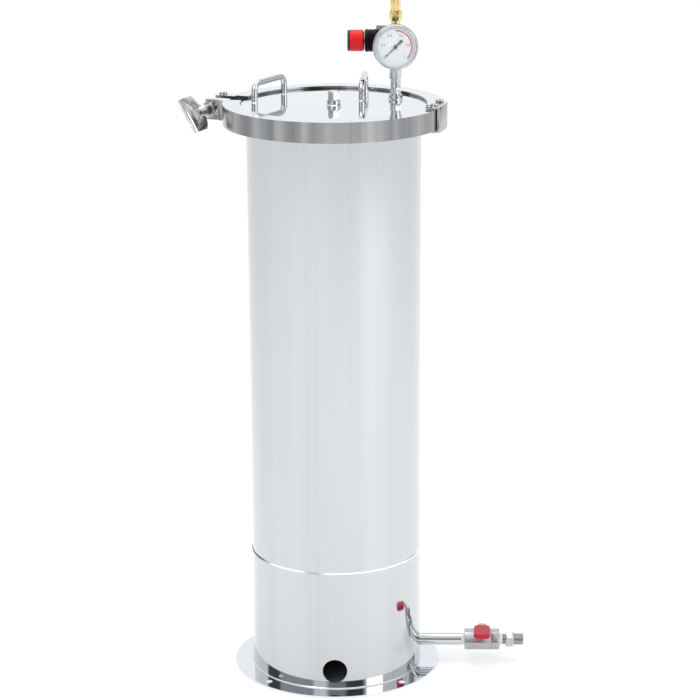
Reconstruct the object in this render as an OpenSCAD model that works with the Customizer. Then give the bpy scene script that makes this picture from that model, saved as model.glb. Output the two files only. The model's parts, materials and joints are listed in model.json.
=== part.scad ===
// Resin pressure pot: clamped lid, bottom drain valve, regulator with gauge. Millimetres.
// Z up, origin under the centre of the base flange, drain towards +X, front hole towards -Y.

/* [Vessel] */
// outside diameter of the barrel and the skirt
tank_d = 216.3; // [120:0.1:400]
// sheet thickness of barrel and skirt
tank_wall = 2; // [1:0.1:4]
// height of the seam between skirt and barrel
seam_z = 158; // [80:1:300]
// height of the top of the barrel
barrel_top_z = 712; // [300:1:1000]
// slope height of the conical bottom
bottom_drop = 58; // [20:1:90]

/* [Base] */
// outside diameter of the base flange
flange_d = 263.6; // [200:0.1:500]
// thickness of the base flange
flange_t = 3; // [2:0.5:8]
// bolt circle of the base flange
flange_pcd = 240; // [180:1:400]
// base bolt hole diameter
flange_hole_d = 9; // [5:0.5:14]
// diameter of the front hole in the skirt
front_hole_d = 31; // [10:1:60]
// height of the drain axis and the front hole
drain_z = 27; // [15:1:60]

/* [Clamp] */
// outside radius of the clamp ring
clamp_r = 136.5; // [110:0.5:220]
// inside radius of the clamp's top lip
clamp_lip_r = 115; // [90:0.5:200]
// underside of the clamp ring
clamp_z0 = 709.3; // [300:0.1:1000]
// top of the clamp ring
clamp_z1 = 734.5; // [300:0.1:1000]
// direction of the clamp hinge
hinge_az = -14; // [-90:1:90]
// half angle between the hinge pins
hinge_half = 6.3; // [4:0.1:12]
// radius of the hinge pins' circle
hinge_r = 131; // [100:0.5:200]
// half angle of the opening between the clamp halves
gap_half = 7; // [5:0.5:20]
// swing bolt thread diameter
bolt_d = 12; // [6:1:20]
// outward skew of the swing bolt
bolt_skew = 10.5; // [0:0.5:20]
// distance from the swing pin to the nut's washer
grip_len = 38.3; // [20:0.1:60]
// tilt of the nut's loop
nut_tilt = 31; // [0:1:90]

/* [Lid] */
// top face of the lid
lid_z = 731.5; // [300:0.1:1000]
// handle bar diameter
handle_d = 8; // [5:0.5:14]
// distance between a handle's legs
handle_pitch = 69; // [40:1:120]
// height of the handle bar's axis above the lid
handle_h = 23; // [15:1:50]
// regulator stack position, X and Y
stack_x = 76; // [-80:0.1:80]
// regulator stack position along Y
stack_y = 40.6; // [-80:0.1:80]

/* [Regulator and gauge] */
// height of the regulator's axis
reg_z = 804; // [760:1:900]
// regulator body width along Y
reg_w = 40; // [25:1:60]
// regulator body length along X
reg_len = 35; // [30:1:60]
// gauge outside diameter
gauge_d = 55.6; // [40:0.1:100]
// gauge centre height
gauge_z = 803; // [760:0.5:900]
// distance of the gauge's front from the stack axis
gauge_out = 50; // [30:1:70]

/* [Drain valve] */
// drain pipe outside diameter
pipe_d = 15.6; // [8:0.1:30]
// drain pipe bore
pipe_bore = 12; // [5:0.1:25]
// start of the valve body along X
valve_x0 = 166; // [120:0.5:300]
// length of the valve
valve_len = 45.5; // [30:0.5:80]
// across flats of the valve
valve_af = 24; // [16:0.5:40]
// valve lever direction past closed
lever_turn = -2; // [-5:0.5:5]

/* [Hidden] */
$fn = 96;
tank_r = tank_d / 2;
tank_ri = tank_r - tank_wall;
valve_cx = valve_x0 + valve_len / 2;
valve_x1 = valve_x0 + valve_len;
ball_r = 8.4;
rim_r = 128;
gasket_z0 = barrel_top_z + 9.6;
gasket_z1 = gasket_z0 + 1.6;
swing_x = -148.3;
swing_y = 20;
mid_z = (clamp_z0 + clamp_z1) / 2;
bolt_len = 72;
bore_gap = 0.05;

// piece to draw, or all

// ---------- helpers ----------
module tube(r1, r0, h) {
  difference() {
    cylinder(r = r1, h = h);
    translate([0, 0, -1]) cylinder(r = r0, h = h + 2);
  }
}
module along_x(x, z) { translate([x, 0, z]) rotate([0, 90, 0]) children(); }
module to_front(y, z) { translate([0, y, z]) rotate([90, 0, 0]) children(); }
module hex(af, h) { cylinder(r = af / sqrt(3), h = h, $fn = 6); }
module at_stack() { translate([stack_x, stack_y, 0]) children(); }
module at_clamp() { rotate([0, 0, hinge_az]) children(); }
module at_pin() { at_clamp() translate([swing_x, swing_y, mid_z]) rotate([0, 0, -90 - bolt_skew]) children(); }

// ---------- vessel and stand ----------
module barrel() {
  color("silver") translate([0, 0, seam_z + 1.5]) tube(tank_r, tank_ri, barrel_top_z - seam_z - 1.5);
}
module tank_bottom() {
  color("silver") rotate_extrude($fn = 128)
    polygon([[tank_r, seam_z - 1.5], [tank_r + 0.7, seam_z - 0.8], [tank_r + 0.7, seam_z + 0.8],
             [tank_r, seam_z + 1.5], [tank_ri, seam_z + 1.5],
             [10, seam_z - bottom_drop], [10, seam_z - bottom_drop - 3.2], [tank_ri, seam_z - 1.5]]);
}
module skirt() {
  color("silver") difference() {
    translate([0, 0, flange_t]) tube(tank_r, tank_ri, seam_z - 1.5 - flange_t);
    to_front(0, drain_z) cylinder(d = front_hole_d, h = tank_r + 10);
    along_x(0, drain_z) cylinder(d = pipe_d + 1.2, h = tank_r + 10);
  }
}
module base_flange() {
  color("silver") difference() {
    tube(flange_d / 2, tank_ri - 6, flange_t);
    for (a = [45:90:315]) rotate([0, 0, a]) translate([flange_pcd / 2, 0, -1])
      cylinder(d = flange_hole_d, h = flange_t + 2, $fn = 48);
  }
}
module top_ferrule() {
  color("silver") rotate_extrude($fn = 128)
    polygon([[tank_ri, barrel_top_z], [111.6, barrel_top_z], [111.6, barrel_top_z + 1.5],
             [rim_r, barrel_top_z + 5.9], [rim_r, gasket_z0], [tank_ri, gasket_z0]]);
}
module outlet_socket() {
  color("silver") translate([0, 0, seam_z - bottom_drop - 24]) difference() {
    cylinder(r = 12, h = 20.8);
    translate([0, 0, -1]) cylinder(d = pipe_d, h = 14);
    translate([0, 0, -1]) cylinder(r = 7, h = 24);
  }
}
module drain_elbow() {
  bend_r = 30;
  z1 = seam_z - bottom_drop - 11;
  color("silver") {
    translate([0, 0, drain_z + bend_r]) tube(pipe_d / 2, pipe_bore / 2, z1 - drain_z - bend_r);
    translate([bend_r, 0, drain_z + bend_r]) rotate([90, 0, 0]) rotate([0, 0, 180])
      rotate_extrude(angle = 90) translate([bend_r, 0]) difference() {
        circle(d = pipe_d, $fn = 48);
        circle(d = pipe_bore, $fn = 48);
      }
  }
}
module drain_pipe() {
  color("silver") difference() {
    union() {
      along_x(30, drain_z) cylinder(d = pipe_d, h = 132);
      along_x(162, drain_z) cylinder(r = 7.2, h = 14);
    }
    along_x(29, drain_z) cylinder(d = pipe_bore, h = 150);
  }
}
module seal_tape() {
  color("white") {
    along_x(162, drain_z) tube(7.6, 7.2, 14);
    along_x(202.5, drain_z) tube(7.6, 7.2, 13);
  }
}

// ---------- drain valve ----------
module valve_body() {
  color("silver") difference() {
    along_x(valve_x0, drain_z) rotate([0, 0, 30]) hex(valve_af, valve_len - 11.5);
    along_x(valve_x0 - 1, drain_z) cylinder(r = 7.6, h = 12.5);
    along_x(valve_x0 + 11, drain_z) cylinder(r = 5, h = 8);
    along_x(valve_x0 + 13, drain_z) cylinder(r = 9.2, h = 24);
    translate([valve_cx, 0, drain_z + 5]) cylinder(r = 3.05, h = 14, $fn = 48);
    translate([valve_cx, 0, drain_z + 9.6]) cylinder(r = 4.6, h = 6, $fn = 48);
  }
}
module valve_end_cap() {
  color("silver") difference() {
    union() {
      along_x(valve_x1 - 11.5, drain_z) rotate([0, 0, 30]) hex(valve_af, 11.5);
      along_x(valve_x1 - 15.5, drain_z) cylinder(r = 9.2, h = 6);
    }
    along_x(valve_x1 - 9, drain_z) cylinder(r = 7.6, h = 10);
    along_x(valve_x1 - 20, drain_z) cylinder(r = 5, h = 21);
  }
}
module valve_seats() {
  color("white") for (s = [-1, 1]) along_x(valve_cx, drain_z) scale([1, 1, s]) difference() {
    translate([0, 0, 5]) cylinder(r = 9.2, h = s > 0 ? 2.25 : 4.75);
    translate([0, 0, 4]) cylinder(r = 5, h = 8);
    sphere(r = ball_r + 0.05, $fn = 64);
  }
}
module gland_nut() {
  color("silver") translate([valve_cx, 0, drain_z + 9.6]) difference() {
    union() {
      cylinder(r = 4.6, h = 2.5, $fn = 48);
      translate([0, 0, 2.4]) hex(12, 1.8);
    }
    translate([0, 0, -1]) cylinder(r = 3.05, h = 9, $fn = 48);
  }
}
module outlet_nipple() {
  color("silver") difference() {
    union() {
      along_x(valve_x1 - 9, drain_z) cylinder(r = 7.2, h = 18);
      along_x(219.6, drain_z) rotate([0, 0, 30]) hex(19, 10.4);
      along_x(229.9, drain_z) cylinder(r = 7.9, h = 12.8);
    }
    along_x(200, drain_z) cylinder(r = 5.4, h = 50);
  }
}
module valve_ball() {
  color("gainsboro") difference() {
    translate([valve_cx, 0, drain_z]) sphere(r = ball_r, $fn = 64);
    translate([valve_cx, 0, drain_z]) rotate([90, 0, 0]) cylinder(r = 5, h = 30, center = true, $fn = 48);
    translate([valve_cx - 1.3, -10, drain_z + 6.2]) cube([2.6, 20, 5]);
  }
}
module valve_stem() {
  color("gainsboro") translate([valve_cx, 0, drain_z]) {
    translate([-1.25, -2.5, 6.3]) cube([2.5, 5, 2.7]);
    translate([0, 0, 8.9]) cylinder(r = 3, h = 11.1, $fn = 48);
  }
}
module lever_plate() {
  color("gainsboro") translate([valve_cx, 0, drain_z]) rotate([0, 0, lever_turn]) difference() {
    union() {
      translate([0, 0, 14.4]) cylinder(r = 8, h = 2.2, $fn = 48);
      translate([-5.5, -12, 14.4]) cube([11, 12, 2.2]);
      translate([-5.5, 0, 0]) rotate([90, 0, 90]) linear_extrude(11)
        polygon([[-11.9, 14.4], [-11.9, 16.6], [-26, 32.2], [-70, 32.2], [-70, 30], [-27, 30], [-12.9, 14.4]]);
      translate([8.2, -5, 12.6]) cube([2.2, 10, 4]);
      translate([0, -5, 14.4]) cube([10.4, 10, 2.2]);
    }
    translate([0, 0, 13]) cylinder(r = 3, h = 10, $fn = 48);
  }
}
module lever_grip() {
  color("red") translate([valve_cx, 0, drain_z]) rotate([0, 0, lever_turn]) difference() {
    union() {
      translate([-10.7, -59.3, 27.8]) cube([21.4, 13.6, 6.6]);
      for (y = [-59.3, -45.7]) translate([0, y, 27.8]) cylinder(r = 10.7, h = 6.6);
    }
    translate([-5.5, -70, 30]) cube([11, 50, 2.2]);
  }
}
module lever_nut() {
  color("gainsboro") translate([valve_cx, 0, drain_z + 16.6]) difference() {
    hex(10, 3.2);
    translate([0, 0, -1]) cylinder(r = 3, h = 8, $fn = 48);
  }
}

// ---------- lid ----------
module place_left() { rotate([0, 0, 150.7]) translate([93, 0, lid_z]) rotate([0, 0, 90]) children(); }
module place_right() { translate([36, 62, lid_z]) rotate([0, 0, 87]) children(); }
module lid_plate() {
  color("silver") difference() {
    rotate_extrude($fn = 128)
      polygon([[0, lid_z - 7], [104.5, lid_z - 7], [104.5, gasket_z1], [rim_r, gasket_z1],
               [rim_r, lid_z - 3.6], [clamp_lip_r - 0.6, lid_z], [0, lid_z]]);
    translate([0, 0, lid_z - 10]) cylinder(r = 5.6, h = 20, $fn = 48);
    at_stack() translate([0, 0, lid_z - 10]) cylinder(r = 5.6, h = 20, $fn = 48);
  }
}
module lid_gasket() { color("white") translate([0, 0, gasket_z0]) tube(126, 107.5, 1.6); }
module u_handle() {
  bend = 10;
  half = handle_pitch / 2;
  for (s = [-1, 1]) {
    translate([s * half, 0, 0]) cylinder(d = handle_d, h = handle_h - bend, $fn = 48);
    translate([s * (half - bend), 0, handle_h - bend]) rotate([90, 0, 0]) rotate([0, 0, s > 0 ? 0 : 90])
      rotate_extrude(angle = 90) translate([bend, 0]) circle(d = handle_d, $fn = 48);
  }
  translate([-half + bend, 0, handle_h]) rotate([0, 90, 0])
    cylinder(d = handle_d, h = handle_pitch - 2 * bend, $fn = 48);
}
module left_handle() { color("gainsboro") place_left() u_handle(); }
module right_handle() { color("gainsboro") place_right() u_handle(); }
module centre_socket() { color("gainsboro") translate([0, 0, lid_z]) tube(8.5, 5.6, 5.5); }
module centre_plug() {
  color("gainsboro") translate([0, 0, lid_z]) {
    translate([0, 0, -6]) cylinder(r = 5.6, h = 12, $fn = 48);
    translate([0, 0, 5.8]) hex(13, 11.2);
  }
}
module regulator_socket() { color("gainsboro") at_stack() translate([0, 0, lid_z]) tube(8.8, 5.6, 5); }
module lower_nipple() {
  color("gainsboro") at_stack() difference() {
    union() {
      translate([0, 0, lid_z - 6]) cylinder(r = 5.6, h = 38, $fn = 48);
      translate([0, 0, lid_z + 6.5]) hex(13.4, 8);
      translate([0, 0, lid_z + 16]) cylinder(r = 6.4, h = 7, $fn = 48);
    }
    translate([0, 0, lid_z - 8]) cylinder(r = 3.2, h = 50, $fn = 48);
  }
}
module coupling() {
  color("gainsboro") at_stack() translate([0, 0, lid_z + 25]) difference() {
    cylinder(r = 7.6, h = 12.5);
    translate([0, 0, -1]) cylinder(r = 5.6, h = 8);
    translate([0, 0, 6]) cylinder(r = 5.4, h = 8);
  }
}
module upper_nipple() {
  color("gainsboro") at_stack() difference() {
    union() {
      translate([0, 0, lid_z + 32.2]) cylinder(r = 5.4, h = 32, $fn = 48);
      translate([0, 0, lid_z + 40.5]) hex(13.4, 7);
    }
    translate([0, 0, lid_z + 30]) cylinder(r = 3.2, h = 40, $fn = 48);
  }
}

// ---------- regulator ----------
module regulator_body() {
  color([0.1, 0.1, 0.1]) at_stack() difference() {
    translate([-24, -reg_w / 2, reg_z - 20]) cube([reg_len, reg_w, 35.6]);
    along_x(-25, reg_z) cylinder(r = 15, h = 13);
    along_x(-12.5, reg_z) cylinder(r = 12, h = 6);
    along_x(-8, reg_z) cylinder(r = 5.4, h = 16.5);
    translate([0, 0, reg_z - 21]) cylinder(r = 5.4, h = 13, $fn = 48);
    translate([0, 0, reg_z - 12]) cylinder(r = 3.2, h = 10, $fn = 48);
    translate([0, 0, reg_z + 8]) cylinder(r = 5, h = 14, $fn = 48);
    translate([0, 0, reg_z + 3]) cylinder(r = 3.2, h = 10, $fn = 48);
    to_front(1, gauge_z) cylinder(r = 3, h = 30, $fn = 48);
    to_front(-12, gauge_z) cylinder(r = 5, h = 10, $fn = 48);
  }
}
module regulator_bonnet() {
  color([0.1, 0.1, 0.1]) at_stack() difference() {
    union() {
      along_x(-38, reg_z) cylinder(r = 14, h = 15);
      along_x(-24, reg_z) cylinder(r = 15, h = 10);
    }
    along_x(-35, reg_z) cylinder(r = 11, h = 22);
    along_x(-40, reg_z) cylinder(r = 4, h = 8, $fn = 48);
  }
}
module diaphragm() { color([0.05, 0.05, 0.05]) at_stack() along_x(-14, reg_z) cylinder(r = 14.9, h = 1.4); }
module poppet() {
  color("goldenrod") at_stack() {
    along_x(-12.4, reg_z) cylinder(r = 2, h = 12, $fn = 48);
    along_x(-0.6, reg_z) cylinder(r = 5.3, h = 8, $fn = 48);
  }
}
module regulating_spring() {
  color("gray") at_stack() for (i = [0:5]) translate([-29.5 + 2.5 * i, 0, reg_z]) rotate([0, 90, 0])
    rotate_extrude($fn = 48) translate([8, 0]) circle(r = 0.9, $fn = 16);
}
module spring_button() {
  color("gray") at_stack() along_x(-32.4, reg_z) cylinder(r = 9.5, h = 1.9);
}
module adjusting_screw() {
  color("gray") at_stack() along_x(-57, reg_z) cylinder(r = 3.95, h = 24.2, $fn = 48);
}
module knob() {
  color("red") at_stack() difference() {
    along_x(-56.4, reg_z) cylinder(r = 13.3, h = 17.8);
    along_x(-42, reg_z) cylinder(r = 10.5, h = 6);
    along_x(-60, reg_z) cylinder(r = 4, h = 30, $fn = 48);
  }
}
module knob_cap() {
  color([0.12, 0.1, 0.1]) at_stack() along_x(-59.4, reg_z) difference() {
    cylinder(r = 13, h = 3);
    translate([0, 0, 2.2]) cylinder(r = 4, h = 2, $fn = 48);
  }
}
module inlet_fitting() {
  color("goldenrod") at_stack() difference() {
    union() {
      translate([0, 0, reg_z + 11]) cylinder(r = 5, h = 9, $fn = 48);
      translate([0, 0, reg_z + 19.6]) cylinder(r = 5.6, h = 5.6, $fn = 48);
      translate([0, 0, reg_z + 25]) rotate([0, 0, 30]) hex(14, 12);
      translate([0, 0, reg_z + 36.9]) cylinder(r = 4.2, h = 10, $fn = 48);
      translate([0, 0, reg_z + 46.8]) cylinder(r = 3.2, h = 4.2, $fn = 48);
    }
    translate([0, 0, reg_z]) cylinder(r = 2.2, h = 60, $fn = 48);
    translate([0, 0, reg_z + 40]) cylinder(r = 2.6, h = 12, $fn = 48);
  }
}
module hose_nut() {
  color("goldenrod") at_stack() translate([0, 0, reg_z + 37.4]) difference() {
    cylinder(r = 6.2, h = 13.6);
    translate([0, 0, -1]) cylinder(r = 4.25, h = 15, $fn = 48);
  }
}

// ---------- gauge ----------
module gauge_stem() {
  color("goldenrod") at_stack() difference() {
    union() {
      to_front(-12.2, gauge_z) cylinder(r = 5, h = 10, $fn = 48);
      to_front(-22, gauge_z) rotate([0, 0, 30]) hex(12, 9);
      to_front(-30.9, gauge_z) cylinder(r = 5, h = 5.2, $fn = 48);
    }
    to_front(-10, gauge_z) cylinder(r = 1.5, h = 23, $fn = 24);
  }
}
module gauge_case() {
  color("silver") at_stack() difference() {
    to_front(-33.5, gauge_z) cylinder(r = gauge_d / 2 - 1, h = 13);
    to_front(-34.7, gauge_z) cylinder(r = gauge_d / 2 - 2.2, h = 20);
    to_front(-20, gauge_z) cylinder(r = 5, h = 20, $fn = 48);
  }
}
module bourdon_tube() {
  color("goldenrod") at_stack() {
    for (a = [-80, 30]) to_front(-38.6, gauge_z) rotate([0, 0, a])
      rotate_extrude(angle = 110) translate([18, 0]) circle(r = 1.6, $fn = 24);
    translate([-3, -40.2, gauge_z - 17.7]) cube([6.2, 4.1, 21]);
  }
}
module gauge_dial() {
  color("white") at_stack() difference() {
    to_front(-44.2, gauge_z) cylinder(r = gauge_d / 2 - 2.3, h = 1);
    to_front(-43, gauge_z) cylinder(r = 1.4, h = 5, $fn = 48);
  }
}
module gauge_pointer() {
  color([0.05, 0.05, 0.05]) at_stack() translate([0, -45.6, gauge_z]) rotate([90, 0, 0]) {
    rotate([0, 0, 225]) linear_extrude(0.8)
      polygon([[-11.5, -1.6], [2, -1.1], [19, -0.3], [19, 0.3], [2, 1.1], [-11.5, 1.6]]);
    translate([0, 0, -2.4]) cylinder(r = 1.3, h = 3.2, $fn = 48);
    cylinder(r = 2.4, h = 1.5, $fn = 48);
  }
}
module gauge_lens() {
  color([0.9, 0.95, 1, 0.35]) at_stack() to_front(-47.6, gauge_z) cylinder(r = gauge_d / 2 - 2.3, h = 1.4);
}
module gauge_bezel() {
  color("silver") at_stack() difference() {
    to_front(-42, gauge_z) cylinder(d = gauge_d, h = gauge_out - 42);
    to_front(-41, gauge_z) cylinder(r = gauge_d / 2 - 1, h = 5.5);
    to_front(-41, gauge_z) cylinder(r = gauge_d / 2 - 2.3, h = 8);
    to_front(-41, gauge_z) cylinder(r = gauge_d / 2 - 3.4, h = 12);
  }
}

// ---------- clamp ----------
module band(a0, a1) {
  rotate([0, 0, a0]) rotate_extrude(angle = a1 - a0, $fn = 128)
    polygon([[112, clamp_z0], [clamp_r, clamp_z0], [clamp_r, clamp_z1], [clamp_lip_r, clamp_z1],
             [clamp_lip_r, lid_z + 0.4], [rim_r + 0.4, lid_z - 3.2], [rim_r + 0.4, barrel_top_z + 5.5],
             [112, barrel_top_z + 1.1]]);
}
module pin_hole(s, r) {
  rotate([0, 0, s * hinge_half]) translate([hinge_r, 0, clamp_z0 - 9]) cylinder(r = r, h = 44, $fn = 48);
}
module clamp_front() {
  color("gray") at_clamp() difference() {
    union() {
      band(180 + gap_half, 360 - hinge_half + 2);
      intersection() {
        translate([-160, -30, clamp_z0]) cube([25, 24, clamp_z1 - clamp_z0]);
        translate([swing_x, swing_y, clamp_z0 - 1]) cylinder(r = grip_len - 0.3, h = 40);
      }
      translate([-141.5, -22, clamp_z0]) cube([12, 14, clamp_z1 - clamp_z0]);
    }
    translate([-180, -40, mid_z - bolt_d / 2 - 0.8]) cube([180 - 144, 60, bolt_d + 1.6]);
    pin_hole(-1, 3 + bore_gap);
  }
}
module clamp_rear() {
  color("gray") at_clamp() difference() {
    union() {
      band(hinge_half - 2, 180 - gap_half);
      translate([swing_x, swing_y, clamp_z0]) cylinder(r = 10, h = clamp_z1 - clamp_z0);
      translate([swing_x, swing_y - 10, clamp_z0]) cube([-130 - swing_x, 20, clamp_z1 - clamp_z0]);
    }
    translate([swing_x - 20, swing_y - 20, mid_z - 6.8]) cube([32.5, 40, 13.6]);
    translate([swing_x, swing_y, clamp_z0 - 1]) cylinder(r = 4, h = 40, $fn = 48);
    pin_hole(1, 3 + bore_gap);
    translate([0, 0, clamp_z0 - 5]) cylinder(r = 111.9, h = 40);
  }
}
module hinge_link() {
  color("gray") at_clamp() for (z = [clamp_z0 - 3, clamp_z1 + 0.4]) translate([0, 0, z]) difference() {
    intersection() {
      tube(hinge_r + 9, hinge_r - 8, 2.6);
      translate([hinge_r, 0, 0]) cube([40, 2 * (hinge_r * sin(hinge_half) + 8), 20], center = true);
    }
    for (s = [-1, 1]) rotate([0, 0, s * hinge_half]) translate([hinge_r, 0, -5]) cylinder(r = 3, h = 20, $fn = 48);
  }
  color("gray") at_clamp() translate([0, 0, clamp_z0 - 3]) intersection() {
    tube(hinge_r + 9, clamp_r + 0.6, clamp_z1 - clamp_z0 + 6);
    translate([hinge_r, 0, 0]) cube([40, 2 * (hinge_r * sin(hinge_half) + 8), 80], center = true);
  }
}
module hinge_pins() {
  color("gainsboro") at_clamp() for (s = [-1, 1]) rotate([0, 0, s * hinge_half]) translate([hinge_r, 0, 0]) {
    translate([0, 0, clamp_z0 - 4.5]) cylinder(r = 3, h = clamp_z1 - clamp_z0 + 9, $fn = 48);
    translate([0, 0, clamp_z1 + 3]) cylinder(r = 5, h = 2.6, $fn = 48);
  }
}
module swing_pin() {
  color("gainsboro") at_clamp() translate([swing_x, swing_y, 0]) {
    translate([0, 0, clamp_z0 - 3]) cylinder(r = 4, h = clamp_z1 - clamp_z0 + 3.1, $fn = 48);
    translate([0, 0, clamp_z1]) cylinder(r = 5.2, h = 2.6, $fn = 48);
    translate([0, 0, clamp_z0 - 3]) cylinder(r = 5.4, h = 2.9, $fn = 48);
  }
}
module swing_bolt() {
  color("gainsboro") at_pin() difference() {
    union() {
      translate([0, 0, -6]) cylinder(r = 9, h = 12);
      rotate([0, 90, 0]) cylinder(r = bolt_d / 2 - bore_gap, h = bolt_len, $fn = 64);
    }
    translate([0, 0, -10]) cylinder(r = 4 + bore_gap, h = 20, $fn = 48);
  }
}
module washer() {
  color("gainsboro") at_pin() rotate([0, 90, 0]) translate([0, 0, grip_len]) tube(9.8, bolt_d / 2 + 0.3, 2.4);
}
module loop_nut() {
  w0 = grip_len + 2.7;
  color("gainsboro") at_pin() rotate([nut_tilt, 0, 0]) difference() {
    union() {
      translate([w0, 0, 0]) rotate([0, 90, 0]) cylinder(r1 = 8.2, r2 = 9, h = 16);
      translate([w0 + 15.9, 0, 0]) rotate([0, 90, 0]) cylinder(r1 = 9, r2 = 5, h = 11);
      translate([w0, 3.2, 0]) rotate([90, 0, 0]) linear_extrude(6.4) union() {
        intersection() {
          translate([45, 0]) circle(r = 29);
          translate([12, -22.5]) square([34, 45]);
        }
        translate([45, -22.5]) square([6, 45]);
      }
    }
    rotate([0, 90, 0]) cylinder(r = bolt_d / 2, h = w0 + 34, $fn = 64);
    translate([w0 + 37, 0, 0]) rotate([90, 0, 0]) linear_extrude(20, center = true) union() {
      translate([-4.5, -6.5]) square([9, 13]);
      for (s = [-1, 1]) translate([0, s * 6.5]) circle(r = 4.5, $fn = 48);
    }
  }
}

barrel();
tank_bottom();
skirt();
base_flange();
top_ferrule();
outlet_socket();
drain_elbow();
drain_pipe();
seal_tape();
valve_body();
valve_end_cap();
valve_seats();
gland_nut();
outlet_nipple();
valve_ball();
valve_stem();
lever_plate();
lever_grip();
lever_nut();
lid_plate();
lid_gasket();
left_handle();
right_handle();
centre_socket();
centre_plug();
regulator_socket();
lower_nipple();
coupling();
upper_nipple();
regulator_body();
regulator_bonnet();
diaphragm();
poppet();
regulating_spring();
spring_button();
adjusting_screw();
knob();
knob_cap();
inlet_fitting();
hose_nut();
gauge_stem();
gauge_case();
bourdon_tube();
gauge_dial();
gauge_pointer();
gauge_lens();
gauge_bezel();
clamp_front();
clamp_rear();
hinge_link();
hinge_pins();
swing_pin();
swing_bolt();
washer();
loop_nut();
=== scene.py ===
"""Resin pressure pot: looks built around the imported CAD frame. Metres, Z up, -Y is the front."""

import json
import math

import bmesh
import bpy
from mathutils import Matrix, Vector

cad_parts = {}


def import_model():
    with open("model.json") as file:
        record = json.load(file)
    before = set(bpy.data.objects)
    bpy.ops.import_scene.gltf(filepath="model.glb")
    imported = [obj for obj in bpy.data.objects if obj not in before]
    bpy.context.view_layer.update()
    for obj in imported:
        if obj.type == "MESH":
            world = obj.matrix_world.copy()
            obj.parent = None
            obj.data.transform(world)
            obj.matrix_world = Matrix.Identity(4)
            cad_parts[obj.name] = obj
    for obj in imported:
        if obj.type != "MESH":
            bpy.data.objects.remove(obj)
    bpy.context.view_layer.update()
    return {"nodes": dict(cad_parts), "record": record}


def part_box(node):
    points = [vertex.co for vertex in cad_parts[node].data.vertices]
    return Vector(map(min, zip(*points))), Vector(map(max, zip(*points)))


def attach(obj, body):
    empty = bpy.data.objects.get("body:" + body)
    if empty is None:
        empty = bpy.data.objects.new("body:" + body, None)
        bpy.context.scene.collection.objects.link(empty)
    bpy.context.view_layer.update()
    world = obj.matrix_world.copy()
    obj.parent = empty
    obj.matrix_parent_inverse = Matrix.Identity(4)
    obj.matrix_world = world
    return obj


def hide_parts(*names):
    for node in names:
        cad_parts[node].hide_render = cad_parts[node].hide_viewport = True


MM = 0.001
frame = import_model()
nodes = frame["nodes"]


# ---------- places, from the frame ----------
def centre(node):
    """Middle of a CAD node's box."""
    low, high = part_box(node)
    return (Vector(low) + Vector(high)) / 2


LID_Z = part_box("lid_plate")[1][2]
BARREL_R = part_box("barrel")[1][0]
STACK = centre("coupling")
GAUGE = centre("gauge_dial")
DIAL_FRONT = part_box("gauge_dial")[0][1]
DIAL_R = (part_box("gauge_dial")[1][0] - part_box("gauge_dial")[0][0]) / 2
DRAIN_Z = centre("drain_pipe")[2]


# ---------- node helpers for materials ----------
class Shader:
    """A Principled material with short calls for its node network."""

    def __init__(self, name, colour, metallic, roughness):
        self.mat = bpy.data.materials.new(name)
        self.mat.use_nodes = True
        self.tree = self.mat.node_tree
        self.bsdf = self.tree.nodes["Principled BSDF"]
        self.set("Base Color", (*colour, 1))
        self.set("Metallic", metallic)
        self.set("Roughness", roughness)

    def set(self, socket, value):
        self.bsdf.inputs[socket].default_value = value

    def node(self, kind, **inputs):
        made = self.tree.nodes.new(kind)
        for key, value in inputs.items():
            made.inputs[key.replace("_", " ")].default_value = value
        return made

    def link(self, a, b):
        self.tree.links.new(a, b)

    def place(self, scale=(1, 1, 1)):
        """Object coordinates in metres, stretched by scale."""
        coords = self.node("ShaderNodeTexCoord")
        mapping = self.node("ShaderNodeMapping")
        mapping.inputs["Scale"].default_value = scale
        self.link(coords.outputs["Object"], mapping.inputs["Vector"])
        return mapping.outputs["Vector"]

    def radius(self):
        """Distance from the pot's axis, in metres."""
        made = self.node("ShaderNodeVectorMath")
        made.operation = "LENGTH"
        self.link(self.place((1, 1, 0)), made.inputs[0])
        return made.outputs["Value"]

    def above(self, value, limit):
        """1 where value is greater than limit, else 0."""
        made = self.node("ShaderNodeMath")
        made.operation = "GREATER_THAN"
        made.inputs[1].default_value = limit
        self.link(value, made.inputs[0])
        return made.outputs["Value"]

    def noise(self, vector, scale, detail=4.0):
        made = self.node("ShaderNodeTexNoise", Scale=scale, Detail=detail)
        self.link(vector, made.inputs["Vector"])
        return made.outputs["Fac"]

    def ramp(self, factor, stops):
        made = self.node("ShaderNodeValToRGB")
        ramp = made.color_ramp
        for index, (position, colour) in enumerate(stops):
            element = ramp.elements[index] if index < 2 else ramp.elements.new(position)
            element.position = position
            element.color = (*colour, 1)
        self.link(factor, made.inputs["Fac"])
        return made.outputs["Color"]

    def spread(self, factor, low, high):
        made = self.node("ShaderNodeMapRange")
        made.inputs["To Min"].default_value = low
        made.inputs["To Max"].default_value = high
        self.link(factor, made.inputs["Value"])
        return made.outputs["Result"]

    def blend(self, factor, socket, low, high):
        """Drives a socket from low to high by factor; each end is a value or another node's output."""
        made = self.node("ShaderNodeMix")
        made.data_type = "RGBA" if socket == "Base Color" else "FLOAT"
        a, b, out = (6, 7, 2) if socket == "Base Color" else (2, 3, 0)
        for index, end in ((a, low), (b, high)):
            if isinstance(end, bpy.types.NodeSocket):
                self.link(end, made.inputs[index])
            else:
                made.inputs[index].default_value = end
        self.link(factor, made.inputs[0])
        self.link(made.outputs[out], self.bsdf.inputs[socket])

    def bump(self, height, strength, distance):
        made = self.node("ShaderNodeBump", Strength=strength, Distance=distance)
        self.link(height, made.inputs["Height"])
        self.link(made.outputs["Normal"], self.bsdf.inputs["Normal"])


def grey(value, tint=0.0):
    """A metal grey, a little bluer with tint."""
    return (value * (1 - tint), value, value * (1 + tint))


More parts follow.
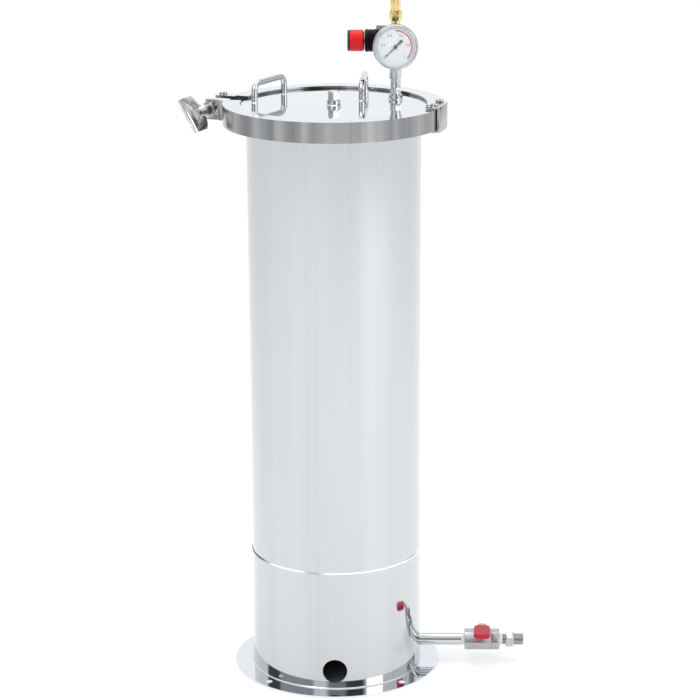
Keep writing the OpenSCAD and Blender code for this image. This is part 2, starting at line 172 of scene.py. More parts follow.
def steel(name, value, roughness, streak_scale, streak_z, contrast, bump=0.05, tint=0.01):
    """Stainless steel whose grain runs along streak_z: fine streaks in colour, roughness and height."""
    shader = Shader(name, grey(value), 1.0, roughness)
    grain = shader.noise(shader.place((1, 1, streak_z)), streak_scale, 6)
    low, high = value * (1 - contrast), min(1.0, value * (1 + contrast))
    colour = shader.ramp(grain, [(0.3, grey(low, tint)), (0.7, grey(high, tint))])
    shader.link(colour, shader.bsdf.inputs["Base Color"])
    shader.link(shader.spread(grain, roughness * 0.8, roughness * 1.25), shader.bsdf.inputs["Roughness"])
    shader.bump(grain, bump, 0.0002)
    return shader


def satin_steel():
    """Long vertical grain of a polished and lightly brushed shell, with broad soft bands of painted
    reflection and a nearly black inside that is painted shade.
    """
    shader = steel("satin_steel", 0.62, 0.075, 260.0, 0.004, 0.025, 0.01, tint=0.025)
    fine = shader.bsdf.inputs["Base Color"].links[0].from_socket
    # broad soft vertical bands multiplied into the colour: painted reflection of the surroundings on the
    # polished shell
    broad = shader.noise(shader.place((1, 1, 0.05)), 11.0, 2)
    painted_reflection_bands = shader.ramp(broad, [(0.35, grey(0.9)), (0.65, grey(1.0))])
    mix = shader.node("ShaderNodeMix")
    mix.data_type = "RGBA"
    mix.blend_type = "MULTIPLY"
    mix.inputs[0].default_value = 1.0
    shader.link(fine, mix.inputs[6])
    shader.link(painted_reflection_bands, mix.inputs[7])
    # inside the shell the colour drops to nearly black: painted shade, not the steel's own finish
    outside = shader.above(shader.radius(), BARREL_R - 0.8 * MM)
    shader.blend(outside, "Base Color", (*grey(0.03), 1), mix.outputs[2])
    return shader.mat


def mirror_steel():
    """Buffed plate with only a faint cloudiness."""
    return steel("mirror_steel", 0.82, 0.045, 40.0, 1.0, 0.02, 0.01, tint=0.045).mat


FACING_UP = 0.9  # a normal's Z above which a face counts as the top


def band_steel():
    """Brushed clamp band with broad upright streaks between light and dark, and a polished top face whose
    colour is painted far brighter as a painted highlight.
    """
    shader = steel("band_steel", 0.35, 0.2, 38.0, 0.02, 0.42, 0.04)
    streaks = shader.bsdf.inputs["Base Color"].links[0].from_socket
    rough = shader.bsdf.inputs["Roughness"].links[0].from_socket
    normal = shader.node("ShaderNodeSeparateXYZ")
    shader.link(shader.node("ShaderNodeTexCoord").outputs["Normal"], normal.inputs[0])
    # upward faces get a much brighter colour, a painted highlight, and a low roughness for their real polish
    top = shader.above(normal.outputs["Z"], FACING_UP)
    shader.blend(top, "Base Color", streaks, (*grey(0.8, 0.03), 1))
    shader.blend(top, "Roughness", rough, 0.07)
    return shader.mat


def seam_steel():
    """Dressed weld bead with darker and brighter stretches round the shell."""
    shader = steel("seam_steel", 0.5, 0.15, 90.0, 1.0, 0.1, 0.1)
    stretch = shader.noise(shader.place((1, 1, 0.0)), 7.5, 1)
    colour = shader.ramp(stretch, [(0.42, grey(0.06)), (0.5, grey(0.95, 0.01))])
    shader.link(colour, shader.bsdf.inputs["Base Color"])
    return shader.mat


def cast_steel():
    """Polished investment casting with a slight ripple."""
    return steel("cast_steel", 0.62, 0.2, 90.0, 1.0, 0.14, 0.12).mat


def fitting_steel():
    """Machined bar stock: tight turning marks."""
    return steel("fitting_steel", 0.5, 0.27, 700.0, 1.0, 0.12, 0.06).mat


def lit_fitting_steel():
    """Polished bar stock of the lid's sockets, nipples and plug: the same turned steel as fitting_steel, its
    colour painted brighter as a painted highlight where the light falls on the lid.
    """
    return steel("lit_fitting_steel", 0.68, 0.28, 700.0, 1.0, 0.05, 0.04).mat


def handle_steel():
    """Bent round bar, polished but not to a mirror."""
    return steel("handle_steel", 0.68, 0.2, 300.0, 1.0, 0.05, 0.03).mat


def brass():
    """Turned yellow brass."""
    shader = Shader("machined_brass", (0.9, 0.72, 0.32), 1.0, 0.26)
    grain = shader.noise(shader.place(), 600.0, 2)
    colour = shader.ramp(grain, [(0.3, (0.86, 0.66, 0.27)), (0.7, (0.94, 0.76, 0.36))])
    shader.link(colour, shader.bsdf.inputs["Base Color"])
    shader.link(shader.spread(grain, 0.22, 0.3), shader.bsdf.inputs["Roughness"])
    shader.bump(grain, 0.03, 0.0002)
    return shader.mat


def plastic(name, dark, light, roughness, scale=900.0, bump=0.15, gloss=0.3):
    """Moulded plastic with a fine pebble and slight mottling."""
    shader = Shader(name, light, 0.0, roughness)
    pebble = shader.noise(shader.place(), scale, 3)
    colour = shader.ramp(pebble, [(0.3, dark), (0.7, light)])
    shader.link(colour, shader.bsdf.inputs["Base Color"])
    shader.link(shader.spread(pebble, roughness * 0.8, roughness * 1.2), shader.bsdf.inputs["Roughness"])
    shader.set("Specular IOR Level", gloss)
    shader.bump(pebble, bump, 0.0002)
    return shader.mat


def clear_glass():
    """Thin gauge lens: nearly clear, with a faint smear."""
    shader = Shader("clear_glass", (1, 1, 1), 0.0, 0.02)
    smear = shader.noise(shader.place(), 60.0, 3)
    shader.link(shader.spread(smear, 0.01, 0.05), shader.bsdf.inputs["Roughness"])
    shader.set("Alpha", 0.07)
    return shader.mat


MATERIALS = {
    "satin_steel": satin_steel(),
    "mirror_steel": mirror_steel(),
    "cast_steel": cast_steel(),
    "fitting_steel": fitting_steel(),
    "lit_fitting_steel": lit_fitting_steel(),
    "handle_steel": handle_steel(),
    "band_steel": band_steel(),
    "seam_steel": seam_steel(),
    "brass": brass(),
    "red_plastic": plastic("red_plastic", (0.72, 0.006, 0.01), (0.84, 0.01, 0.014), 0.3),
    "black_paint": plastic("black_paint", (0.003, 0.003, 0.003), (0.007, 0.007, 0.008), 0.3, gloss=0.1),
    "grip_vinyl": plastic("grip_vinyl", (0.4, 0.006, 0.03), (0.52, 0.01, 0.045), 0.35),
    "black_plastic": plastic("black_plastic", (0.016, 0.012, 0.012), (0.04, 0.03, 0.03), 0.4),
    "black_rubber": plastic("black_rubber", (0.02, 0.02, 0.02), (0.04, 0.04, 0.04), 0.6),
    "white_ptfe": plastic("white_ptfe", (0.8, 0.8, 0.8), (0.93, 0.93, 0.93), 0.5),
    "dial_white": plastic("dial_white", (0.78, 0.84, 0.86), (0.84, 0.89, 0.91), 0.5, 300.0, 0.02),
    "dial_red": plastic("dial_red", (0.62, 0.03, 0.07), (0.75, 0.05, 0.1), 0.4),
    "dial_black": plastic("dial_black", (0.02, 0.03, 0.03), (0.05, 0.06, 0.06), 0.4),
    "clear_glass": clear_glass(),
}


def paint(obj, name):
    obj.data.materials.clear()
    obj.data.materials.append(MATERIALS[name])


SPECIAL = {"tank_bottom": "seam_steel", "clamp_front": "band_steel", "clamp_rear": "band_steel",
           "hinge_link": "band_steel", "left_handle": "handle_steel", "right_handle": "handle_steel",
           "centre_socket": "lit_fitting_steel", "regulator_socket": "lit_fitting_steel",
           "coupling": "lit_fitting_steel", "upper_nipple": "lit_fitting_steel"}
for part in frame["record"]["subparts"]:
    paint(nodes[part["node"]], SPECIAL.get(part["node"], part["material_slot"]))


# ---------- mesh helpers ----------
def smooth(obj, angle=35):
    """Smooth shading that keeps edges sharper than angle."""
    for polygon in obj.data.polygons:
        polygon.use_smooth = True
    bpy.context.view_layer.objects.active = obj
    obj.select_set(True)
    bpy.ops.object.shade_smooth_by_angle(angle=math.radians(angle))
    obj.select_set(False)


def add(name, mesh_or_bm, material, body, stands_for=(), angle=35):
    """Makes the object, gives it its finish and puts it on its body."""
    if isinstance(mesh_or_bm, bmesh.types.BMesh):
        bmesh.ops.remove_doubles(mesh_or_bm, verts=mesh_or_bm.verts, dist=1e-7)
        bmesh.ops.recalc_face_normals(mesh_or_bm, faces=mesh_or_bm.faces)
        mesh = bpy.data.meshes.new(name)
        mesh_or_bm.to_mesh(mesh)
        mesh_or_bm.free()
    else:
        mesh = mesh_or_bm
    obj = bpy.data.objects.new(name, mesh)
    bpy.context.scene.collection.objects.link(obj)
    smooth(obj, angle)
    paint(obj, material)
    if stands_for:
        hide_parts(*stands_for)
    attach(obj, body)
    return obj


def frame_of(origin, axis):
    """Matrix that takes local +Z to axis at origin."""
    return Matrix.Translation(Vector(origin)) @ Vector(axis).to_track_quat("Z", "Y").to_matrix().to_4x4()


def revolve(bm, profile, matrix=Matrix(), steps=96, ripple=None):
    """Turns a closed outline of (radius, height) round local Z. ripple(angle, r, z) may change the radius."""
    rings = []
    for step in range(steps):
        turn = 2 * math.pi * step / steps
        ring = []
        for radius, height in profile:
            r = ripple(turn, radius, height) if ripple else radius
            ring.append(bm.verts.new(matrix @ Vector((r * math.cos(turn), r * math.sin(turn), height))))
        rings.append(ring)
    count = len(profile)
    for step in range(steps):
        a, b = rings[step], rings[(step + 1) % steps]
        for i in range(count):
            j = (i + 1) % count
            bm.faces.new((a[i], b[i], b[j], a[j]))


def rounded(points, radius, steps=4):
    """A closed outline with each corner rounded by radius."""
    out = []
    count = len(points)
    for i in range(count):
        here = Vector(points[i])
        before = Vector(points[i - 1]) - here
        after = Vector(points[(i + 1) % count]) - here
        cut = min(radius, before.length * 0.45, after.length * 0.45)
        a, b = here + before.normalized() * cut, here + after.normalized() * cut
        for k in range(steps + 1):
            t = k / steps
            out.append(tuple(a * (1 - t) ** 2 + here * 2 * t * (1 - t) + b * t**2))
    return out


def tube_of(outer, inner, z0, z1, radius):
    """Rounded outline of a ring's section."""
    return rounded([(inner, z0), (outer, z0), (outer, z1), (inner, z1)], radius)


def screw_thread(bm, matrix, r, bore, z0, z1, pitch, depth, steps=64):
    """A threaded tube: the crest climbs one pitch a turn, and fades out at both ends."""
    rows = max(8, int((z1 - z0) / pitch * 8))
    grid = []
    for step in range(steps):
        turn = step / steps
        angle = turn * 2 * math.pi
        column = []
        for row in range(rows + 1):
            z = z0 + (z1 - z0) * row / rows
            wave = abs(((z / pitch - turn) % 1.0) * 2 - 1)
            ends = min(1.0, (z - z0) / pitch, (z1 - z) / pitch)
            radius = r - depth * (1 - wave * ends)
            spot = Vector((radius * math.cos(angle), radius * math.sin(angle), z))
            column.append(bm.verts.new(matrix @ spot))
        for z in (z1, z0):
            spot = Vector((bore * math.cos(angle), bore * math.sin(angle), z))
            column.append(bm.verts.new(matrix @ spot))
        grid.append(column)
    count = rows + 3
    for step in range(steps):
        a, b = grid[step], grid[(step + 1) % steps]
        for i in range(count):
            j = (i + 1) % count
            bm.faces.new((a[i], b[i], b[j], a[j]))


def hex_nut(bm, matrix, flats, bore, z0, z1, chamfer):
    """A hexagonal collar whose corners are turned down at both ends."""
    steps = 96

    def ripple(turn, radius, height):
        if radius < bore * 1.001:
            return radius
        sector = (turn + math.pi / 6) % (math.pi / 3) - math.pi / 6
        return min(radius, flats / 2 / math.cos(sector))

    corner = flats / math.sqrt(3)
    profile = [(bore, z0), (flats / 2 * 0.97, z0), (corner, z0 + chamfer), (corner, z1 - chamfer)]
    profile += [(flats / 2 * 0.97, z1), (bore, z1)]
    revolve(bm, profile, matrix, steps, ripple)


def bevel_cad(node, width, angle=40):
    """Softens the sharp edges of a CAD node, which keeps its own mesh."""
    obj = nodes[node]
    weld = obj.modifiers.new("weld", "WELD")
    weld.merge_threshold = 1e-6
    edge = obj.modifiers.new("bevel", "BEVEL")
    edge.width = width * MM
    edge.segments = 2
    edge.limit_method = "ANGLE"
    edge.angle_limit = math.radians(angle)
    edge.harden_normals = True


# softened edges, as the bevel's width in millimetres
BEVELS = {"regulator_body": 1.6, "valve_body": 0.5, "valve_end_cap": 0.5, "lever_plate": 0.4,
          "hinge_link": 0.6, "loop_nut": 1.2, "swing_pin": 0.8, "hinge_pins": 0.6}
for node_name, width in BEVELS.items():
    bevel_cad(node_name, width)


# ---------- welds ----------
def weld_bead(name, matrix, radius, width=1.0 * MM):
    """A rippled fillet weld round a foot, as a triangular ring with a scalloped face."""
    bm = bmesh.new()

    def ripple(turn, r, z):
        return r + 0.05 * MM * math.sin(turn * 26) if r > radius * 1.001 else r

    profile = [(radius, 0), (radius + width, 0), (radius + width * 0.45, width * 0.42), (radius, width)]
    revolve(bm, profile, matrix, 156, ripple)
    add(name, bm, "handle_steel", "pot", angle=60)


def handle_feet(node):
    """The two foot centres of a U handle, from its vertices near the lid."""
    low = [v.co for v in nodes[node].data.vertices if v.co.z < LID_Z + 1 * MM]
    middle = sum(low, Vector()) / len(low)
    far = max(low, key=lambda p: (p - middle).length)
    side = [p for p in low if (p - middle).dot(far - middle) > 0]
    foot = sum(side, Vector()) / len(side)
    return [foot, 2 * middle - foot]


for side in ("left", "right"):
    for index, foot in enumerate(handle_feet(side + "_handle")):
        spot = Matrix.Translation((foot.x, foot.y, LID_Z))
        weld_bead(f"weld_{side}_{index}", spot, 4 * MM)
FLANGE_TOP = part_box("base_flange")[1][2]
weld_bead("weld_foot", Matrix.Translation((0, 0, FLANGE_TOP)), BARREL_R, width=1.5 * MM)
weld_bead("weld_centre", Matrix.Translation((0, 0, LID_Z)), 8.5 * MM)
weld_bead("weld_stack", Matrix.Translation((STACK.x, STACK.y, LID_Z)), 8.8 * MM)


# ---------- drain fittings ----------
DRAIN_PITCH = 1.34 * MM


def outlet_nipple():
    """Threaded both ends, with a chamfered hexagon between."""
    low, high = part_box("outlet_nipple")
    start = frame_of((0, 0, DRAIN_Z), (1, 0, 0))
    bm = bmesh.new()
    screw_thread(bm, start, 7.15 * MM, 5.4 * MM, low[0], 219.7 * MM, DRAIN_PITCH, 0.7 * MM)
    hex_nut(bm, start, 19 * MM, 5.4 * MM, 219.6 * MM, 230 * MM, 1.2 * MM)
    screw_thread(bm, start, 7.9 * MM, 5.4 * MM, 229.9 * MM, high[0], DRAIN_PITCH, 0.8 * MM)
    add("outlet_nipple_threaded", bm, "fitting_steel", "pot", ["outlet_nipple"], 30)


def seal_tape():
    """Two turns of white tape pressed into the threads, a little uneven."""
    bm = bmesh.new()
    spans = [(162.1 * MM, 176 * MM), (202.5 * MM, 215.5 * MM)]
    start = frame_of((0, 0, DRAIN_Z), (1, 0, 0))

    def ripple(turn, r, z):
        if r < 7.25 * MM:
            return r
        return r - 0.12 * MM * (1 + math.sin(z / MM * 4.7 + turn)) - 0.05 * MM * math.sin(turn * 5 + z / MM)

    for z0, z1 in spans:
        rows = 26
        outside = [(7.6 * MM, z0 + (z1 - z0) * i / rows) for i in range(rows + 1)]
        revolve(bm, [(7.2 * MM, z0)] + outside + [(7.2 * MM, z1)], start, 72, ripple)
    add("seal_tape_wrapped", bm, "white_ptfe", "pot", ["seal_tape"], 50)


def lever_grip():
    """Dipped vinyl sleeve: a flat rounded bar that covers the plate's end, with a thumb dimple."""
    low, high = (Vector(c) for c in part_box("lever_grip"))
    middle, half = (low + high) / 2, (high - low) / 2
    lean = math.radians(-2)
    length, width = 18.4 * MM, 10.7 * MM
    bm = bmesh.new()
    bmesh.ops.create_uvsphere(bm, u_segments=72, v_segments=36, radius=1)
    for v in bm.verts:
        x, y, z = v.co
        flat = math.hypot(x, y)
        angle = math.atan2(y, x)
        grow = flat**0.35 if flat > 1e-6 else 0.0
        straight = length - width
        across = math.copysign(abs(math.cos(angle)) ** 0.6, x)
        along = math.copysign(abs(math.sin(angle)) ** 0.6, y)
        px = width * grow * across
        py = width * grow * along + straight * max(-1.0, min(1.0, 2.4 * math.sin(angle) * grow))
        dish = 0.25 * MM * math.exp(-((px / width) ** 2) * 3 - (py / length) ** 2 * 3)
        pz = half.z * (abs(z) ** 0.45) * (1 if z >= 0 else -1) - (dish if z > 0 else 0)
        v.co = middle + Matrix.Rotation(lean, 3, "Z") @ Vector((px, py, pz))
    add("lever_grip_sleeve", bm, "grip_vinyl", "lever", ["lever_grip"], 80)


# ---------- lid fittings ----------
def hex_on_neck(name, node, hexes, necks, bore):
    """A turned fitting on the stack's axis, from rounded necks and chamfered hexagons (z0, z1, size)."""
    bm = bmesh.new()
    axis = Matrix.Translation((STACK.x, STACK.y, LID_Z))
    for z0, z1, radius in necks:
        revolve(bm, tube_of(radius * MM, bore * MM, z0 * MM, z1 * MM, 0.4 * MM), axis, 72)
    for z0, z1, flats in hexes:
        hex_nut(bm, axis, flats * MM, bore * MM, z0 * MM, z1 * MM, 0.9 * MM)
    add(name, bm, "lit_fitting_steel", "pot", [node], 30)


def centre_plug():
    """Hexagon plug with a domed head and a turned collar."""
    bm = bmesh.new()
    axis = Matrix.Translation((0, 0, LID_Z))
    hex_nut(bm, axis, 13 * MM, 0.4 * MM, 5.8 * MM, 16.9 * MM, 1.1 * MM)
    revolve(bm, tube_of(5.5 * MM, 0.4 * MM, -6 * MM, 5.9 * MM, 0.3 * MM), axis, 64)
    dome = [(0.01 * MM, 16 * MM), (3 * MM, 16 * MM), (2.4 * MM, 17 * MM), (0.01 * MM, 17 * MM)]
    revolve(bm, rounded(dome, 0.2 * MM), axis, 48)
    add("centre_plug_hex", bm, "lit_fitting_steel", "pot", ["centre_plug"], 30)


# ---------- regulator ----------
REG = Vector((STACK.x, STACK.y, centre("regulator_bonnet")[2]))
LEFT = (-1, 0, 0)


def knob():
    """Moulded knob with 30 faint grip ribs and a rounded shoulder."""
    low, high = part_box("knob")
    start = frame_of((0, REG.y, REG.z), LEFT)
    bm = bmesh.new()
    near, far = -high[0], -low[0]
    outer = 13.3 * MM

    def ripple(turn, r, z):
        if r < 12 * MM:
            return r
        along = (z - near) / (far - near)
        depth = 0.12 * MM * max(0.0, math.sin(math.pi * min(1, max(0, along)))) ** 0.4
        return r - depth * (0.5 + 0.5 * math.cos(turn * 30))

    body = [(4 * MM, near), (10.4 * MM, near), (11.8 * MM, near + 0.4 * MM)]
    body += [(12.9 * MM, near + 1.6 * MM), (outer, near + 3.2 * MM)]
    body += [(outer, near + (far - near) * k / 8) for k in range(2, 8)]
    body += [(outer, far - 0.9 * MM), (outer - 0.8 * MM, far), (4 * MM, far)]
    revolve(bm, body, start, 240, ripple)
    add("knob_ribbed", bm, "red_plastic", "knob", ["knob"], 60)


def knob_cap():
    """Dark end cap with a rounded rim and a shallow dished face."""
    low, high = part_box("knob_cap")
    start = frame_of((0, REG.y, REG.z), LEFT)
    near, far = -high[0], -low[0]
    bm = bmesh.new()
    profile = [(0.01 * MM, near + 1 * MM), (11 * MM, near), (12.9 * MM, near), (13 * MM, near + 0.4 * MM)]
    profile += [(13 * MM, far - 1 * MM), (12.6 * MM, far - 0.3 * MM), (12 * MM, far)]
    profile += [(10 * MM, far - 0.1 * MM), (9.4 * MM, far - 0.6 * MM), (0.01 * MM, far - 0.6 * MM)]
    revolve(bm, profile, start, 96)
    add("knob_cap_round", bm, "black_plastic", "knob", ["knob_cap"], 30)


def bonnet():
    """Black bonnet with two turned grooves and a rounded nose."""
    low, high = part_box("regulator_bonnet")
    start = frame_of((0, REG.y, REG.z), LEFT)
    near, far = -high[0], -low[0]
    bm = bmesh.new()
    profile = [(11 * MM, near), (15 * MM, near), (15 * MM, near + 9.8 * MM), (14 * MM, near + 10 * MM)]
    for groove in (13.5 * MM, 17.5 * MM):
        profile += [(14 * MM, near + groove), (13.2 * MM, near + groove + 0.6 * MM)]
        profile += [(13.2 * MM, near + groove + 1.2 * MM), (14 * MM, near + groove + 1.8 * MM)]
    profile += [(14 * MM, far - 1.2 * MM), (12.9 * MM, far), (4.05 * MM, far), (4.05 * MM, far - 3 * MM)]
    profile += [(11 * MM, far - 3 * MM)]
    revolve(bm, profile, start, 96)
    add("bonnet_grooved", bm, "black_paint", "pot", ["regulator_bonnet"], 30)


def regulating_spring():
    """The coil that the knob presses, as a closed helix of round wire."""
    low, high = (Vector(c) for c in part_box("regulating_spring"))
    turns, wire, radius = 5.5, 0.9 * MM, 8 * MM
    curve = bpy.data.curves.new("spring", "CURVE")
    curve.dimensions = "3D"
    curve.bevel_depth = wire
    curve.bevel_resolution = 4
    curve.use_fill_caps = True
    spline = curve.splines.new("POLY")
    count = 200
    spline.points.add(count)
    for i, point in enumerate(spline.points):
        t = i / count
        angle = 2 * math.pi * turns * t
        x = low.x + wire + (high.x - low.x - 2 * wire) * t
        point.co = (x, REG.y + radius * math.cos(angle), REG.z + radius * math.sin(angle), 1)
    holder = bpy.data.objects.new("spring_curve", curve)
    bpy.context.scene.collection.objects.link(holder)
    mesh = bpy.data.meshes.new_from_object(holder)
    bpy.data.objects.remove(holder)
    add("regulating_spring_coil", mesh, "fitting_steel", "pot", ["regulating_spring"], 60)


def knurled(name, node, outer, bore, teeth, depth, material, body):
    """A straight-knurled nut on the stack's axis with chamfered ends."""
    low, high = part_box(node)
    bm = bmesh.new()

    def ripple(turn, r, z):
        if r < outer * 0.96:
            return r
        return r - depth * abs(((turn * teeth / (2 * math.pi)) % 1) * 2 - 1)

    ends = 0.8 * MM
    profile = [(bore, low[2]), (outer * 0.94, low[2]), (outer, low[2] + ends), (outer, high[2] - ends)]
    profile += [(outer * 0.94, high[2]), (bore, high[2])]
    revolve(bm, profile, Matrix.Translation((STACK.x, STACK.y, 0)), teeth * 6, ripple)
    add(name, bm, material, body, [node], 25)


def inlet_fitting():
    """Brass adapter: neck, chamfered hexagon, threaded shank and tip."""
    low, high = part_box("inlet_fitting")
    axis = Matrix.Translation((STACK.x, STACK.y, low[2]))
    bm = bmesh.new()
    revolve(bm, tube_of(5 * MM, 2.2 * MM, 0, 9 * MM, 0.3 * MM), axis, 64)
    revolve(bm, tube_of(5.6 * MM, 2.2 * MM, 8.6 * MM, 14.4 * MM, 0.5 * MM), axis, 64)
    hex_nut(bm, axis @ Matrix.Rotation(math.pi / 6, 4, "Z"), 14 * MM, 2.2 * MM, 14 * MM, 26 * MM, 2.2 * MM)
    screw_thread(bm, axis, 4.2 * MM, 2.2 * MM, 25.9 * MM, 36 * MM, 1 * MM, 0.5 * MM)
    revolve(bm, tube_of(3.2 * MM, 2.6 * MM, 35.8 * MM, high[2] - low[2], 0.2 * MM), axis, 48)
    add("inlet_fitting_turned", bm, "brass", "pot", ["inlet_fitting"], 30)


# ---------- gauge ----------
ZERO = math.radians(225)
SWEEP = math.radians(270)


def on_dial(radius, angle, lift):
    """A point on the dial, angle counted anticlockwise from the right, seen from the front."""
    return Vector((GAUGE.x + radius * math.cos(angle), DIAL_FRONT - lift, GAUGE.z + radius * math.sin(angle)))


def dial_bar(bm, r0, r1, angle, width, lift=0.02 * MM):
    """One flat printed stroke along a radius."""
    side = Vector((-math.sin(angle), 0, math.cos(angle))) * width / 2
    corners = []
    for radius, sign in ((r0, -1), (r1, -1), (r1, 1), (r0, 1)):
        corners.append(on_dial(radius, angle, lift) + side * sign)
    back = [bm.verts.new(p) for p in corners]
    front = [bm.verts.new(p + Vector((0, -0.05 * MM, 0))) for p in corners]
    bm.faces.new(front)
    bm.faces.new(list(reversed(back)))
    for i in range(4):
        j = (i + 1) % 4
        bm.faces.new((back[i], back[j], front[j], front[i]))


def dial_arc(bm, r0, r1, a0, a1, steps=60, lift=0.02 * MM):
    """A printed band between two radii."""
    rows = []
    for i in range(steps + 1):
        angle = a0 + (a1 - a0) * i / steps
        row = [on_dial(r0, angle, lift), on_dial(r1, angle, lift)]
        row += [row[1] + Vector((0, -0.05 * MM, 0)), row[0] + Vector((0, -0.05 * MM, 0))]
        rows.append([bm.verts.new(p) for p in row])
    for a, b in zip(rows, rows[1:]):
        for i in range(4):
            j = (i + 1) % 4
            bm.faces.new((a[i], b[i], b[j], a[j]))
    bm.faces.new(rows[0])
    bm.faces.new(list(reversed(rows[-1])))


def dial_print():
    """Scale of 0 to 1 with tenths and fiftieths, a thin rim line, numbers and a red band."""
    bm = bmesh.new()
    for i in range(51):
        angle = ZERO - SWEEP * i / 50
        long = i % 5 == 0
        dial_bar(bm, DIAL_R * (0.79 if long else 0.84), DIAL_R * 0.89, angle, (0.35 if long else 0.18) * MM)
    dial_arc(bm, DIAL_R * 0.885, DIAL_R * 0.895, ZERO - SWEEP, ZERO, 90)
    add("dial_scale", bm, "dial_black", "pot")
    bm = bmesh.new()
    dial_arc(bm, DIAL_R * 0.745, DIAL_R * 0.815, math.radians(-43), math.radians(90), lift=0.08 * MM)
    add("dial_red_band", bm, "dial_red", "pot")
    for i in range(0, 6):
        text = bpy.data.curves.new("number", "FONT")
        text.body = "0" if i == 0 else ("1" if i == 5 else "0.%d" % (2 * i))
        text.size = 4.2 * MM
        text.align_x, text.align_y = "CENTER", "CENTER"
        text.extrude = 0.04 * MM
        holder = bpy.data.objects.new("number", text)
        bpy.context.scene.collection.objects.link(holder)
        mesh = bpy.data.meshes.new_from_object(holder)
        bpy.data.objects.remove(holder)
        angle = ZERO - SWEEP * i / 5
        spot = Matrix.Translation(on_dial(DIAL_R * 0.6, angle, 0.06 * MM))
        mesh.transform(spot @ Matrix.Rotation(math.pi / 2, 4, "X"))
        add(f"dial_number_{i}", mesh, "dial_black", "pot")


def gauge_bezel():
    """Rolled steel bezel with a rounded outer edge and a bright inner lip."""
    low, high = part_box("gauge_bezel")
    start = frame_of((GAUGE.x, 0, GAUGE.z), (0, -1, 0))
    near, far = -high[1], -low[1]
    r = (high[0] - low[0]) / 2
    profile = [(r - 1 * MM, near), (r - 0.2 * MM, near), (r, near + 0.5 * MM), (r, far - 2.6 * MM)]
    profile += [(r - 0.3 * MM, far - 1.2 * MM), (r - 1 * MM, far - 0.3 * MM), (r - 1.6 * MM, far)]
    profile += [(r - 2.1 * MM, far - 0.2 * MM), (r - 2.6 * MM, far - 0.9 * MM), (r - 2.3 * MM, far - 1 * MM)]
    profile += [(r - 2.3 * MM, near + 4.6 * MM), (r - 1 * MM, near + 4.5 * MM)]
    bm = bmesh.new()
    revolve(bm, profile, start, 160)
    add("gauge_bezel_rolled", bm, "fitting_steel", "pot", ["gauge_bezel"], 40)


def gauge_pointer():
    """Tapered needle with a broad tail and a domed hub."""
    low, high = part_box("gauge_pointer")
    axis = frame_of((GAUGE.x, 0, GAUGE.z), (0, -1, 0))
    bm = bmesh.new()
    near, far = -high[1], -low[1]
    hub = [(0.01 * MM, near), (1.3 * MM, near), (1.3 * MM, near + 2.4 * MM), (2.4 * MM, near + 2.4 * MM)]
    hub += [(2.4 * MM, far - 0.5 * MM), (1.7 * MM, far), (0.01 * MM, far)]
    revolve(bm, hub, axis, 48)
    outline = [(-11.5, -1.5), (-11, -1.7), (-4, -1.1), (0, -0.8), (18.6, -0.25), (19, 0)]
    outline += [(18.6, 0.25), (0, 0.8), (-4, 1.1), (-11, 1.7), (-11.5, 1.5)]
    turn = Matrix.Rotation(-ZERO, 3, "Y")
    depth = (near + 2.5 * MM, near + 3.1 * MM)
    layers = []
    for y in depth:
        origin = Vector((GAUGE.x, -y, GAUGE.z))
        layers.append([bm.verts.new(origin + turn @ Vector((u * MM, 0, v * MM))) for u, v in outline])
    bm.faces.new(layers[0])
    bm.faces.new(list(reversed(layers[1])))
    for i in range(len(outline)):
        j = (i + 1) % len(outline)
        bm.faces.new((layers[0][i], layers[0][j], layers[1][j], layers[1][i]))
    add("gauge_pointer_needle", bm, "dial_black", "pointer", ["gauge_pointer"], 30)


outlet_nipple()
seal_tape()
lever_grip()
centre_plug()
hex_on_neck("lower_nipple_turned", "lower_nipple", [(6.5, 14.5, 13.4)],
            [(-6, 6.6, 5.6), (14.4, 25, 5.6), (16, 23, 6.4)], 3.2)
knob()
knob_cap()
bonnet()
regulating_spring()
knurled("hose_nut_knurled", "hose_nut", 6.2 * MM, 4.25 * MM, 24, 0.45 * MM, "brass", "hose_nut")
inlet_fitting()
dial_print()
gauge_bezel()
gauge_pointer()


# ---------- stage, lights and camera ----------
FLOOR_HALF = 30
FLOOR_GLOW = 0.17


def floor():
    """Pale ground that glows a little everywhere but under the pot, where the missing glow is a painted
    shadow.
    """
    mesh = bpy.data.meshes.new("floor")
    corners = [(FLOOR_HALF * x, FLOOR_HALF * y, 0) for x, y in ((-1, -1), (1, -1), (1, 1), (-1, 1))]
    mesh.from_pydata(corners, [], [(0, 1, 2, 3)])
    obj = bpy.data.objects.new("floor", mesh)
    bpy.context.scene.collection.objects.link(obj)
    shader = Shader("floor_white", (0.93, 0.93, 0.93), 0.0, 0.6)
    shader.set("Emission Color", (1, 1, 1, 1))
    # no glow inside the pot's footprint: a painted shadow under the pot
    lit = shader.node("ShaderNodeMapRange")
    lit.inputs["From Min"].default_value = BARREL_R - 1 * MM
    lit.inputs["From Max"].default_value = BARREL_R
    lit.inputs["To Max"].default_value = FLOOR_GLOW
    shader.link(shader.radius(), lit.inputs["Value"])
    shader.link(lit.outputs["Result"], shader.bsdf.inputs["Emission Strength"])
    tone = shader.ramp(shader.noise(shader.place(), 3.0, 2), [(0.3, grey(0.92)), (0.7, grey(0.94))])
    shader.link(tone, shader.bsdf.inputs["Base Color"])
    obj.data.materials.append(shader.mat)


def softbox(name, spot, aim, size, power):
    light = bpy.data.lights.new(name, "AREA")
    light.shape = "RECTANGLE"
    light.size, light.size_y = size
    light.energy = power
    obj = bpy.data.objects.new(name, light)
    obj.location = spot
    obj.rotation_mode = "QUATERNION"
    obj.rotation_quaternion = (Vector(aim) - Vector(spot)).to_track_quat("-Z", "Y")
    bpy.context.scene.collection.objects.link(obj)


